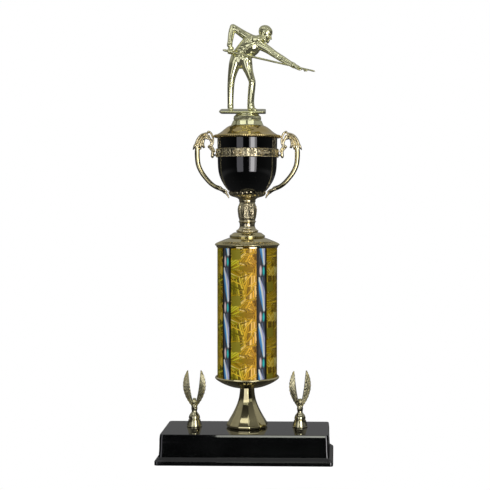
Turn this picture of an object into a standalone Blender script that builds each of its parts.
"""A billiards trophy: a weighted base with two winged trims, a faceted riser, a wrapped column,
a lidded two-handled cup and a player figure, all clamped by one threaded rod.

Metres, +Z up, front at -Y. The origin is the centre of the base's underside. Run it with
blender --background --python part.py, or from Blender's text editor.
"""

import math

import bmesh
import bpy
from mathutils import Matrix, Vector

MM = 0.001

# Clearance between pieces that touch on the real object
GAP = 0.3

# All sizes below are in millimetres.
BASE_TOP = (231.0, 101.0)
BASE_FLANGE = (245.0, 116.0)
BASE_HEIGHT = 41.8
BASE_WALL = 2.8
BASE_DRAFT = math.radians(4.0)
FLANGE_HEIGHT = 10.0
FLANGE_CHAMFER = 3.6
CORNER_RADIUS = 4.0
COLUMN_SETBACK = 10.5

ROD_RADIUS = 3.175
ROD_BORE = 3.6
ROD_BOTTOM = 6.0
ROD_TOP = 481.0
NUT_RADIUS = 6.42
NUT_HEIGHT = 5.5
WASHER_RADIUS = 12.0
WASHER_THICKNESS = 1.6

WEIGHT_SIZE = (124.0, 62.0, 20.0)

RISER_SIDES = 12
RISER_TOP = 98.6

COLUMN_RADIUS = 42.1
COLUMN_WALL = 2.4
COLUMN_BOTTOM = 110.9
COLUMN_TOP = 297.0
FILM = 0.3
STRIPE_COUNT = 5
STRIPE_TURN = math.radians(-3.0)
STRIPE_WIDTH = math.radians(22.0)
STRIPE_STEPS = 6
CAP_LIP_RADIUS = 43.1
CAP_RIM_RADIUS = 45.4

CUP_RADIUS = 42.1
CUP_RIM_HEIGHT = 450.1
CUP_WALL = 1.8
CALYX_BOTTOM = 362.8
CALYX_TOP = 374.2
BAND_RADIUS = 44.6
BAND_INNER = 42.5
BAND_BOTTOM = 422.7
BAND_TOP = 435.3
LID_RADIUS = 47.3
LID_BOTTOM = 450.4
LID_TOP = 467.3
SCREW_HEIGHT = 426.0
SCREW_SHANK = 1.5
SCREW_HOLE = 1.9
SCREW_HEAD = 3.4

PLATE_SIZE = (64.0, 32.0)
PLATE_CENTRE_X = -6.6
PLATE_BOTTOM = 484.9
PLATE_FRONT = 2.0
PLATE_BACK = 7.0
BOSS_RADIUS = 8.6
BOSS_BOTTOM = 474.0
POCKET_RADIUS = 6.8
POCKET_TOP = 482.0

TRIM_X = 75.0
TRIM_TURN = {"left": 0.0, "right": math.radians(20.0)}
TRIM_STUD = 2.0
TRIM_BORE = 2.4
TRIM_BORE_TOP = 58.0

SIDES = 32
SMALL_SIDES = 16

COLOURS = {
    "black_gloss": ((0.004, 0.004, 0.005), 0.08, 0.0),
    "plated_gold": ((0.62, 0.56, 0.33), 0.14, 1.0),
    "pale_gold": ((0.72, 0.70, 0.50), 0.08, 1.0),
    "lid_gold": ((0.60, 0.50, 0.30), 0.16, 1.0),
    "gold_film": ((0.55, 0.40, 0.03), 0.25, 1.0),
    "prism_film": ((0.50, 0.58, 0.62), 0.18, 1.0),
    "tube_board": ((0.30, 0.24, 0.17), 0.80, 0.0),
    "weight_iron": ((0.10, 0.10, 0.10), 0.70, 0.6),
    "zinc_steel": ((0.55, 0.56, 0.57), 0.35, 1.0),
}


def clear_scene():
    for obj in list(bpy.data.objects):
        bpy.data.objects.remove(obj, do_unlink=True)


def make_collection(name):
    collection = bpy.data.collections.new(name)
    bpy.context.scene.collection.children.link(collection)
    return collection


def make_material(name):
    colour, roughness, metallic = COLOURS[name]
    material = bpy.data.materials.new(name)
    material.use_nodes = True
    shader = material.node_tree.nodes["Principled BSDF"]
    shader.inputs["Base Color"].default_value = (*colour, 1.0)
    shader.inputs["Roughness"].default_value = roughness
    shader.inputs["Metallic"].default_value = metallic
    return material


clear_scene()
PARTS = make_collection("billiards_trophy")
CUTTERS = make_collection("cutters")
MATERIALS = {name: make_material(name) for name in COLOURS}


# Helpers ---------------------------------------------------------------------------------


def add_object(name, data, material=None, axis_y=COLUMN_SETBACK):
    """Put mesh or curve data, drawn in millimetres about its own axis, into the scene."""
    obj = bpy.data.objects.new(name, data)
    PARTS.objects.link(obj)
    obj.location = (0.0, axis_y * MM, 0.0)
    if material:
        data.materials.append(MATERIALS[material])
    return obj


def mesh_from(bm, name):
    """A mesh in metres from a bmesh in millimetres."""
    bmesh.ops.scale(bm, vec=(MM, MM, MM), verts=bm.verts)
    mesh = bpy.data.meshes.new(name)
    bm.to_mesh(mesh)
    bm.free()
    return mesh


def turned(name, outline, material, sides=SIDES, angle=0.0, **place):
    """Turn a closed loop of (radius, height), which runs down its outer side, about Z."""
    bm = bmesh.new()
    points = [bm.verts.new((r * math.cos(angle), r * math.sin(angle), z)) for r, z in outline]
    for start, end in zip(points, points[1:] + points[:1]):
        bm.edges.new((start, end))
    obj = add_object(name, mesh_from(bm, name), material, **place)
    screw = obj.modifiers.new("Turn", "SCREW")
    screw.steps = sides
    screw.render_steps = sides
    screw.use_merge_vertices = True
    screw.merge_threshold = 1e-6
    screw.use_smooth_shade = sides > RISER_SIDES
    return obj


def bored(outer, bore=ROD_BORE):
    """Close an outer profile, listed from top to bottom, with a straight bore."""
    return outer + [(bore, outer[-1][1]), (bore, outer[0][1])]


def cylinder(name, radius, low, high, material=None, sides=SMALL_SIDES, **place):
    bm = bmesh.new()
    bmesh.ops.create_cone(
        bm,
        cap_ends=True,
        segments=sides,
        radius1=radius,
        radius2=radius,
        depth=high - low,
        matrix=Matrix.Translation((0.0, 0.0, (high + low) / 2.0)),
    )
    obj = add_object(name, mesh_from(bm, name), material, **place)
    obj.data.shade_smooth()
    obj.data.set_sharp_from_angle(angle=math.radians(40.0))
    return obj


def tapered_box(name, size, low, high, draft=0.0, material=None, round_edges=0.0, **place):
    """A box from low to high whose top is size wide and whose walls lean out downwards."""
    spread = (high - low) * math.tan(draft)
    bm = bmesh.new()
    bmesh.ops.create_cube(bm, size=1.0)
    for vert in bm.verts:
        at_foot = vert.co.z < 0.0
        grow = spread if at_foot else 0.0
        vert.co.x *= size[0] + 2.0 * grow
        vert.co.y *= size[1] + 2.0 * grow
        vert.co.z = low if at_foot else high
    if round_edges:
        uprights = [e for e in bm.edges if abs(e.verts[0].co.z - e.verts[1].co.z) > 0.5 * (high - low)]
        bmesh.ops.bevel(bm, geom=uprights, offset=round_edges, segments=3, affect="EDGES", profile=0.5)
    return add_object(name, mesh_from(bm, name), material, **place)


def tube(name, points, radii, material=None, resolution=2, **place):
    """A tube along points, with a radius at each one; its round ends are filled caps."""
    curve = bpy.data.curves.new(name, "CURVE")
    curve.dimensions = "3D"
    curve.bevel_depth = MM
    curve.bevel_resolution = resolution
    curve.use_fill_caps = True
    spline = curve.splines.new("POLY")
    spline.points.add(len(points) - 1)
    for point, place_mm, radius in zip(spline.points, points, radii):
        point.co = (*(Vector(place_mm) * MM), 1.0)
        point.radius = radius
    return add_object(name, curve, material, **place)


def smooth_route(points, steps=3):
    """Points on a Catmull-Rom curve through (x, y, z, radius) stations."""
    padded = [points[0], *points, points[-1]]
    route = []
    for index in range(1, len(padded) - 2):
        before, start, end, after = (Vector(p) for p in padded[index - 1 : index + 3])
        for step in range(steps):
            t = step / steps
            route.append(
                0.5
                * (
                    2.0 * start
                    + (end - before) * t
                    + (2.0 * before - 5.0 * start + 4.0 * end - after) * t * t
                    + (3.0 * start - before - 3.0 * end + after) * t**3
                )
            )
    route.append(Vector(points[-1]))
    return [tuple(p[:3]) for p in route], [p[3] for p in route]


def flat_outline(name, outline, thickness, **place):
    """A plate standing in the XZ plane, from an outline of (x, z)."""
    curve = bpy.data.curves.new(name, "CURVE")
    curve.dimensions = "2D"
    curve.fill_mode = "BOTH"
    curve.extrude = thickness * MM / 2.0
    spline = curve.splines.new("POLY")
    spline.points.add(len(outline) - 1)
    spline.use_cyclic_u = True
    for point, (x, z) in zip(spline.points, outline):
        point.co = (x * MM, z * MM, 0.0, 1.0)
    obj = add_object(name, curve, **place)
    obj.rotation_euler = (math.radians(90.0), 0.0, 0.0)
    return obj


def as_mesh(obj):
    """Replace a curve object by a welded mesh object in the same place."""
    bpy.context.view_layer.update()
    depsgraph = bpy.context.evaluated_depsgraph_get()
    mesh = bpy.data.meshes.new_from_object(obj.evaluated_get(depsgraph))
    bm = bmesh.new()
    bm.from_mesh(mesh)
    bmesh.ops.remove_doubles(bm, verts=bm.verts, dist=1e-6)
    bmesh.ops.recalc_face_normals(bm, faces=bm.faces)
    bm.to_mesh(mesh)
    bm.free()
    name = obj.name
    matrix = obj.matrix_world.copy()
    collection = obj.users_collection[0]
    bpy.data.objects.remove(obj, do_unlink=True)
    solid = bpy.data.objects.new(name, mesh)
    collection.objects.link(solid)
    solid.matrix_world = matrix
    return solid


def boolean(obj, other, operation):
    """Join or cut obj with another object, which becomes a hidden tool."""
    for collection in list(other.users_collection):
        collection.objects.unlink(other)
    CUTTERS.objects.link(other)
    other.hide_render = True
    other.display_type = "WIRE"
    modifier = obj.modifiers.new(operation.title(), "BOOLEAN")
    modifier.operation = operation
    modifier.solver = "EXACT"
    modifier.object = other


def ellipsoid(name, centre, radii, tilt=0.0):
    """A sphere squashed to three radii, leaned over about Y, towards +X."""
    bm = bmesh.new()
    bmesh.ops.create_uvsphere(bm, u_segments=12, v_segments=8, radius=1.0)
    shape = Matrix.Rotation(tilt, 4, "Y") @ Matrix.Diagonal((*radii, 1.0))
    bmesh.ops.transform(bm, matrix=Matrix.Translation(centre) @ shape, verts=bm.verts)
    return add_object(name, mesh_from(bm, name))


# Base ------------------------------------------------------------------------------------


def build_base_shell():
    """A moulded box with leaning walls on a wider flange, open underneath."""
    body = tapered_box(
        "base_shell",
        BASE_TOP,
        FLANGE_HEIGHT - 1.0,
        BASE_HEIGHT,
        BASE_DRAFT,
        "black_gloss",
        CORNER_RADIUS,
        axis_y=0.0,
    )
    flange_top = [side - 2.0 * FLANGE_CHAMFER for side in BASE_FLANGE]
    skirt = tapered_box(
        "flange_skirt", BASE_FLANGE, 0.0, FLANGE_HEIGHT - FLANGE_CHAMFER, 0.0, None, CORNER_RADIUS, axis_y=0.0
    )
    chamfer = tapered_box(
        "flange_chamfer",
        flange_top,
        FLANGE_HEIGHT - FLANGE_CHAMFER - 0.5,
        FLANGE_HEIGHT,
        math.atan(FLANGE_CHAMFER / (FLANGE_CHAMFER + 0.5)),
        None,
        CORNER_RADIUS,
        axis_y=0.0,
    )
    inside_top = [side - 2.0 * BASE_WALL for side in BASE_TOP]
    hollow = tapered_box("base_hollow", inside_top, -1.0, BASE_HEIGHT - BASE_WALL, BASE_DRAFT, axis_y=0.0)
    boolean(body, skirt, "UNION")
    boolean(body, chamfer, "UNION")
    boolean(body, hollow, "DIFFERENCE")
    boolean(body, cylinder("base_rod_hole", ROD_BORE, 30.0, 50.0), "DIFFERENCE")
    for side, x in (("left", -TRIM_X), ("right", TRIM_X)):
        hole = cylinder("base_trim_hole_" + side, TRIM_BORE, 30.0, 50.0)
        hole.location.x = x * MM
        boolean(body, hole, "DIFFERENCE")


def build_base_inside():
    """The weight under the base's top, and the nut and washer that clamp the rod."""
    weight_top = BASE_HEIGHT - BASE_WALL - GAP
    weight_bottom = weight_top - WEIGHT_SIZE[2]
    weight = tapered_box(
        "base_weight", WEIGHT_SIZE, weight_bottom, weight_top, 0.0, "weight_iron", CORNER_RADIUS
    )
    boolean(weight, cylinder("weight_hole", ROD_BORE, weight_bottom - 5.0, weight_top + 5.0), "DIFFERENCE")
    washer_top = weight_bottom - GAP
    washer_bottom = washer_top - WASHER_THICKNESS
    turned(
        "base_washer",
        bored([(WASHER_RADIUS, washer_top), (WASHER_RADIUS, washer_bottom)]),
        "zinc_steel",
        SMALL_SIDES,
    )
    nut_top = washer_bottom - GAP
    turned("base_nut", hex_nut(nut_top), "zinc_steel", 6)


def hex_nut(top):
    """Half the section of a nut on the rod; its bore's flats clear the rod."""
    bottom = top - NUT_HEIGHT
    bore = (ROD_RADIUS + GAP) / math.cos(math.pi / 6.0)
    return bored([(NUT_RADIUS, top), (NUT_RADIUS, bottom)], bore)


def build_rod():
    cylinder("centre_rod", ROD_RADIUS, ROD_BOTTOM, ROD_TOP, "zinc_steel", 12)


# Riser and column ------------------------------------------------------------------------


def build_foot_riser():
    """A trumpet with twelve flat sides, hollow from below."""
    outer = [
        (10.2, RISER_TOP),
        (10.6, 91.0),
        (11.9, 83.0),
        (16.1, 70.4),
        (22.4, 57.9),
        (26.2, 51.6),
        (28.9, 46.2),
        (29.5, 44.6),
        (28.6, BASE_HEIGHT + GAP),
    ]
    inner = [(26.8, BASE_HEIGHT + GAP), (26.6, 46.2), (20.2, 57.9), (13.9, 70.4), (9.7, 83.0), (8.6, 95.4)]
    turned(
        "foot_riser",
        outer + inner + [(ROD_BORE, 95.4), (ROD_BORE, RISER_TOP)],
        "plated_gold",
        RISER_SIDES,
        math.radians(15.0),
    )


def build_column_caps():
    """The shallow bowl that the column stands in and the low cone that closes its top."""
    cup_bottom = RISER_TOP + GAP
    seat = COLUMN_BOTTOM - GAP
    lower = [
        (CAP_LIP_RADIUS + 1.2, 114.2),
        (CAP_RIM_RADIUS, 112.6),
        (44.2, 110.6),
        (38.0, 106.4),
        (30.0, 102.4),
        (20.0, cup_bottom),
    ]
    inside = [(ROD_BORE, cup_bottom), (ROD_BORE, seat), (CAP_LIP_RADIUS, seat), (CAP_LIP_RADIUS, 114.2)]
    turned("lower_column_cap", lower + inside, "plated_gold")
    roof = COLUMN_TOP + GAP
    upper = [
        (25.2, 310.0),
        (30.0, 308.4),
        (36.0, 305.9),
        (42.6, 303.0),
        (CAP_RIM_RADIUS, 300.9),
        (CAP_RIM_RADIUS, 299.8),
        (CAP_LIP_RADIUS + 1.2, 298.6),
        (CAP_LIP_RADIUS + 0.8, 296.4),
    ]
    inside = [(CAP_LIP_RADIUS, 296.4), (CAP_LIP_RADIUS, roof), (ROD_BORE, roof), (ROD_BORE, 310.0)]
    turned("upper_column_cap", upper + inside, "plated_gold")


def build_column():
    """A board tube, its gold film sleeve and the prism tapes that lie on the sleeve."""
    film_outer = COLUMN_RADIUS
    film_inner = film_outer - FILM
    tube_outer = film_inner - GAP
    tube_inner = tube_outer - COLUMN_WALL
    ring = [(tube_outer, COLUMN_TOP), (tube_outer, COLUMN_BOTTOM)]
    turned("column_tube", bored(ring, tube_inner), "tube_board")
    sleeve = [(film_outer, COLUMN_TOP), (film_outer, COLUMN_BOTTOM)]
    turned("column_wrap", bored(sleeve, film_inner), "gold_film")
    for number in range(STRIPE_COUNT):
        middle = STRIPE_TURN + 2.0 * math.pi * (number + 0.5) / STRIPE_COUNT - math.pi / 2.0
        build_stripe("prism_stripe_" + str(number + 1), middle)


def build_stripe(name, middle):
    """One upright tape, a sector of a thin ring, about a direction in plan."""
    sagitta = 1.0 / math.cos(math.pi / SIDES)
    inner = (COLUMN_RADIUS + GAP * 0.4) * sagitta
    low = COLUMN_BOTTOM + 0.5
    high = COLUMN_TOP - 0.5
    bm = bmesh.new()
    start = middle - STRIPE_WIDTH / 2.0
    corners = [(inner, low), (inner + FILM, low), (inner + FILM, high), (inner, high)]
    face = bm.faces.new(
        [bm.verts.new((r * math.cos(start), r * math.sin(start), z)) for r, z in corners]
    )
    bmesh.ops.spin(
        bm,
        geom=[face, *face.edges, *face.verts],
        axis=(0.0, 0.0, 1.0),
        cent=(0.0, 0.0, 0.0),
        angle=STRIPE_WIDTH,
        steps=STRIPE_STEPS,
    )
    bmesh.ops.recalc_face_normals(bm, faces=bm.faces)
    return add_object(name, mesh_from(bm, name), "prism_film")


# Cup -------------------------------------------------------------------------------------


def build_cup_stem():
    """A foot disc and a baluster stem."""
    foot = [(15.8, 317.6), (18.7, 317.2), (23.0, 315.2), (25.0, 312.6), (25.0, 310.3)]
    turned("cup_foot", bored(foot), "plated_gold")
    stem = [
        (11.6, CALYX_BOTTOM - GAP),
        (11.6, 360.8),
        (10.9, 359.5),
        (12.4, 355.0),
        (13.2, 349.9),
        (12.6, 343.0),
        (11.4, 336.6),
        (11.4, 334.2),
        (12.3, 332.7),
        (11.6, 331.2),
        (10.8, 327.8),
        (11.7, 323.8),
        (14.6, 320.7),
        (15.5, 319.4),
        (15.5, 317.9),
    ]
    turned("cup_stem", bored(stem), "plated_gold", 24)


def build_cup_calyx():
    """The cupped holder under the bowl."""
    outer = [
        (26.1, CALYX_TOP),
        (24.9, 370.8),
        (23.1, 368.7),
        (18.5, 367.2),
        (14.6, 366.0),
        (12.2, 364.4),
        (11.6, CALYX_BOTTOM),
    ]
    inner = [(ROD_BORE, CALYX_BOTTOM), (ROD_BORE, 367.6), (12.0, 368.2), (21.9, 371.0), (25.0, CALYX_TOP)]
    turned("cup_calyx", outer + inner, "plated_gold")


def bowl_outline():
    """Outer side from the rim down to the centre, then the inner side back up."""
    outer = [
        (CUP_RADIUS, CUP_RIM_HEIGHT),
        (41.1, 407.5),
        (38.9, 396.8),
        (34.0, 385.9),
        (29.6, 379.4),
        (25.6, 374.8),
        (21.6, 371.6),
        (12.0, 368.8),
        (ROD_BORE, 368.2),
    ]
    inner = [
        (ROD_BORE, 370.0),
        (12.0, 370.7),
        (20.8, 373.4),
        (24.3, 376.1),
        (28.2, 380.6),
        (32.5, 386.8),
        (37.1, 397.2),
        (41.1 - CUP_WALL, 407.5),
        (CUP_RADIUS - CUP_WALL, CUP_RIM_HEIGHT),
    ]
    return outer + inner


def build_cup_bowl():
    bowl = turned("cup_bowl", bowl_outline(), "black_gloss")
    boolean(bowl, cross_hole("bowl_screw_hole"), "DIFFERENCE")


def build_cup_band():
    ring = [
        (43.6, BAND_TOP),
        (BAND_RADIUS, BAND_TOP - 1.0),
        (BAND_RADIUS, BAND_BOTTOM + 1.0),
        (43.6, BAND_BOTTOM),
    ]
    band = turned("cup_band", bored(ring, BAND_INNER), "plated_gold")
    boolean(band, cross_hole("band_screw_hole"), "DIFFERENCE")


def cross_hole(name):
    """A cutter through both handle screws' places."""
    hole = cylinder(name, SCREW_HOLE, -46.0, 46.0, sides=12)
    hole.rotation_euler = (0.0, math.radians(90.0), 0.0)
    hole.location.z = SCREW_HEIGHT * MM
    return hole


def build_cup_lid():
    """A concave cone with a thick rim; a ring under it centres it in the bowl."""
    outer = [
        (24.0, LID_TOP),
        (31.0, 461.8),
        (38.2, 457.0),
        (44.4, 453.9),
        (LID_RADIUS, 452.8),
        (LID_RADIUS, 451.2),
        (46.0, LID_BOTTOM),
        (39.8, LID_BOTTOM),
        (39.8, 446.4),
    ]
    inner = [
        (38.4, 446.4),
        (38.4, 453.8),
        (30.2, 457.4),
        (25.0, 461.6),
        (22.6, 465.6),
        (ROD_BORE, 465.6),
        (ROD_BORE, LID_TOP),
    ]
    turned("cup_lid", outer + inner, "lid_gold")


HANDLE_STATIONS = [
    # x, y, z and radius, from the foot on the band over the leaf and down to the curled tip
    (48.0, 0.0, 420.4, 2.6),
    (48.2, 0.0, 428.0, 2.9),
    (50.4, 0.0, 437.0, 2.8),
    (51.4, 0.0, 447.0, 2.9),
    (56.4, 0.0, 454.2, 4.2),
    (63.4, 0.0, 450.0, 5.4),
    (69.2, 0.0, 441.2, 5.6),
    (70.9, 0.0, 431.6, 4.2),
    (70.2, 0.0, 419.4, 3.5),
    (66.9, 0.0, 406.8, 3.5),
    (58.3, 0.0, 393.6, 3.4),
    (44.1, 0.0, 380.6, 3.2),
    (35.4, 0.0, 375.9, 3.0),
    (30.4, 0.0, 372.2, 2.4),
    (26.9, 0.0, 367.2, 1.5),
]


def build_handle(side, sign):
    """A scrolled handle, bored for the screw that holds its foot against the band."""
    stations = [(sign * x, y, z, radius) for x, y, z, radius in HANDLE_STATIONS]
    points, radii = smooth_route(stations, 2)
    handle = as_mesh(tube("cup_handle_" + side, points, radii))
    handle.data.materials.append(MATERIALS["plated_gold"])
    hole = cylinder("handle_hole_" + side, SCREW_HOLE, -5.2, 5.2, sides=12)
    hole.rotation_euler = (0.0, math.radians(90.0), 0.0)
    hole.location = (sign * 44.0 * MM, COLUMN_SETBACK * MM, SCREW_HEIGHT * MM)
    boolean(handle, hole, "DIFFERENCE")
    build_handle_screw(side, sign)


def build_handle_screw(side, sign):
    """A screw whose head is inside the bowl, through its wall and the band."""
    head_seat = CUP_RADIUS - CUP_WALL - 1.3
    head = [
        (SCREW_SHANK, 48.0),
        (SCREW_SHANK, head_seat),
        (SCREW_HEAD, head_seat),
        (SCREW_HEAD - 0.6, head_seat - 1.8),
    ]
    screw = turned("handle_screw_" + side, head + [(0.2, head_seat - 1.8), (0.2, 48.0)], "zinc_steel", 12)
    screw.rotation_euler = (0.0, sign * math.radians(90.0), 0.0)
    screw.location.z = SCREW_HEIGHT * MM


# Figure ----------------------------------------------------------------------------------


def build_figure_riser():
    """A stepped cone under the figure's plate, open through its middle for the plate's boss."""
    outer = [
        (15.8, PLATE_BOTTOM - GAP),
        (17.4, 480.4),
        (18.6, 479.4),
        (19.5, 475.8),
        (19.1, 474.6),
        (20.4, 473.4),
        (23.2, LID_TOP + GAP),
    ]
    bore = BOSS_RADIUS + 2.0 * GAP
    inner = [(20.2, LID_TOP + GAP), (16.4, 475.0), (bore, 475.0), (bore, PLATE_BOTTOM - GAP)]
    turned("figure_riser", outer + inner, "pale_gold")


def build_figure_nut():
    """The nut in the boss under the figure, which the rod's top screws into."""
    turned("figure_nut", hex_nut(BOSS_BOTTOM + NUT_HEIGHT + 1.0), "zinc_steel", 6)


# The player's joints, in millimetres from the column's axis: x, depth and height.
HEAD_TILT = math.radians(18.0)
CHEST_TILT = math.radians(40.0)
PELVIS = (-8.0, -0.5, 562.0)
CHEST = (9.5, -3.0, 577.5)
NECK = (19.0, -4.0, 587.0)
HEAD = (26.0, -5.0, 594.6)
REAR_SHOULDER = (9.0, 1.5, 586.5)
REAR_ELBOW = (-19.6, 3.0, 604.4)
REAR_WRIST = (-24.2, -5.5, 580.4)
REAR_HAND = (-23.6, -8.6, 572.4)
FRONT_SHOULDER = (21.0, -5.0, 577.0)
FRONT_ELBOW = (44.0, -8.0, 563.0)
FRONT_WRIST = (64.0, -10.0, 551.5)
FRONT_HAND = (76.0, -11.5, 545.5)
CUE_BUTT = (-34.5, -9.5, 572.4)
CUE_TIP = (94.0, -12.5, 542.6)
REAR_HIP = (-17.0, 0.5, 558.0)
REAR_KNEE = (-22.4, 0.0, 527.0)
REAR_ANKLE = (-23.4, 1.5, 496.0)
FRONT_HIP = (-1.5, -1.5, 557.0)
FRONT_KNEE = (7.4, -6.0, 527.0)
FRONT_ANKLE = (5.6, -3.0, 497.0)
REAR_TOE = (-23.0, -8.0, 490.0)
FRONT_TOE = (9.6, -12.0, 490.0)


def figure_limbs():
    """Each limb of the player as its joints and the radius at each joint."""
    return {
        "rear_leg": ((REAR_HIP, REAR_KNEE, REAR_ANKLE, (*REAR_ANKLE[:2], 488.4)), (8.6, 5.9, 4.6, 4.4)),
        "front_leg": ((FRONT_HIP, FRONT_KNEE, FRONT_ANKLE, (*FRONT_ANKLE[:2], 488.4)), (9.2, 6.0, 5.2, 5.2)),
        "rear_shoe": (((*REAR_ANKLE[:2], 490.4), REAR_TOE), (4.2, 3.2)),
        "front_shoe": (((*FRONT_ANKLE[:2], 490.4), FRONT_TOE), (4.6, 3.2)),
        "spine": ((PELVIS, CHEST, NECK), (11.0, 11.5, 6.0)),
        "throat": ((NECK, HEAD), (5.2, 6.0)),
        "rear_arm": ((CHEST, REAR_SHOULDER, REAR_ELBOW), (6.0, 6.2, 4.2)),
        "rear_forearm": ((REAR_ELBOW, REAR_WRIST, REAR_HAND), (4.4, 3.4, 4.2)),
        "front_arm": ((CHEST, FRONT_SHOULDER, FRONT_ELBOW), (7.0, 6.0, 4.6)),
        "front_forearm": ((FRONT_ELBOW, FRONT_WRIST, FRONT_HAND), (4.6, 3.4, 3.0)),
        "cue": ((CUE_BUTT, CUE_TIP), (1.7, 1.1)),
    }


def build_player_figure():
    """Plate, boss, player and cue: one plated moulding."""
    figure = tapered_box(
        "player_figure",
        PLATE_SIZE,
        PLATE_BOTTOM,
        PLATE_BOTTOM + PLATE_BACK,
        0.0,
        "pale_gold",
        CORNER_RADIUS,
    )
    figure.location.x = PLATE_CENTRE_X * MM
    half = PLATE_SIZE[1] / 2.0
    slope = (PLATE_BACK - PLATE_FRONT) / PLATE_SIZE[1]
    for vert in figure.data.vertices:
        if vert.co.z > (PLATE_BOTTOM + PLATE_FRONT) * MM:
            vert.co.z -= (half * MM - vert.co.y) * slope
    boolean(figure, cylinder("boss", BOSS_RADIUS, BOSS_BOTTOM, PLATE_BOTTOM + 1.0), "UNION")
    boolean(figure, ellipsoid("head", HEAD, (9.6, 9.0, 11.4), HEAD_TILT), "UNION")
    boolean(figure, ellipsoid("hips", PELVIS, (15.5, 10.5, 10.5)), "UNION")
    boolean(figure, ellipsoid("ribs", CHEST, (15.0, 11.0, 12.5), CHEST_TILT), "UNION")
    for name, (points, radii) in figure_limbs().items():
        boolean(figure, as_mesh(tube(name, points, radii)), "UNION")
    boolean(figure, cylinder("nut_pocket", POCKET_RADIUS, BOSS_BOTTOM - 1.0, POCKET_TOP), "DIFFERENCE")


# Trims -----------------------------------------------------------------------------------

WING_OUTLINE = [
    # x and z from the foot of the trim's axis, up the outer edge and back down the inner edge
    (1.0, 68.0),
    (5.6, 73.0),
    (10.4, 80.0),
    (14.2, 89.0),
    (16.0, 98.0),
    (15.2, 107.0),
    (12.4, 115.6),
    (9.4, 122.0),
    (8.0, 116.0),
    (7.2, 104.0),
    (5.6, 92.0),
    (3.4, 83.0),
    (1.0, 77.0),
]
WING_THICKNESS = 4.4


def build_trim(side, sign):
    """A bell foot with a knob, from which two feathered wings stand up."""
    bell = [
        (0.3, 82.0),
        (2.0, 78.0),
        (2.6, 71.0),
        (4.2, 67.0),
        (3.6, 63.0),
        (4.4, 58.0),
        (7.7, 53.2),
        (7.3, 52.4),
        (8.4, 51.4),
        (10.2, 46.4),
        (10.9, BASE_HEIGHT + GAP),
        (0.3, BASE_HEIGHT + GAP),
    ]
    trim = turned("trim_" + side, bell, "plated_gold", SMALL_SIDES)
    for wing, mirror in (("near", 1.0), ("far", -1.0)):
        outline = [(mirror * x, z) for x, z in WING_OUTLINE]
        solid = as_mesh(flat_outline("wing_" + wing + "_" + side, outline, WING_THICKNESS))
        solid.matrix_world = (
            Matrix.Translation((sign * TRIM_X * MM, COLUMN_SETBACK * MM, 0.0))
            @ Matrix.Rotation(TRIM_TURN[side], 4, "Z")
            @ Matrix.Rotation(math.radians(90.0), 4, "X")
        )
        boolean(trim, solid, "UNION")
    bore = cylinder("trim_bore_" + side, TRIM_BORE, BASE_HEIGHT - 2.0, TRIM_BORE_TOP, sides=12)
    bore.location.x = sign * TRIM_X * MM
    trim.location.x = sign * TRIM_X * MM
    boolean(trim, bore, "DIFFERENCE")
    build_trim_screw(side, sign)


def build_trim_screw(side, sign):
    """A screw and its washer, up through the base's top into the trim."""
    washer_top = BASE_HEIGHT - BASE_WALL - GAP
    washer_bottom = washer_top - 1.0
    washer = turned(
        "trim_washer_" + side,
        bored([(6.0, washer_top), (6.0, washer_bottom)], TRIM_BORE),
        "zinc_steel",
        SMALL_SIDES,
    )
    head_top = washer_bottom - GAP
    profile = [
        (TRIM_STUD, TRIM_BORE_TOP - 1.5),
        (TRIM_STUD, head_top),
        (3.9, head_top),
        (3.3, head_top - 2.4),
    ]
    top = TRIM_BORE_TOP - 1.5
    screw = turned("trim_screw_" + side, profile + [(0.2, head_top - 2.4), (0.2, top)], "zinc_steel", 12)
    for obj in (washer, screw):
        obj.location.x = sign * TRIM_X * MM


def main():
    build_base_shell()
    build_base_inside()
    build_rod()
    build_foot_riser()
    build_column_caps()
    build_column()
    build_cup_stem()
    build_cup_calyx()
    build_cup_bowl()
    build_cup_band()
    build_cup_lid()
    build_figure_riser()
    build_figure_nut()
    build_player_figure()
    for side, sign in (("left", -1.0), ("right", 1.0)):
        build_handle(side, sign)
        build_trim(side, sign)


main()
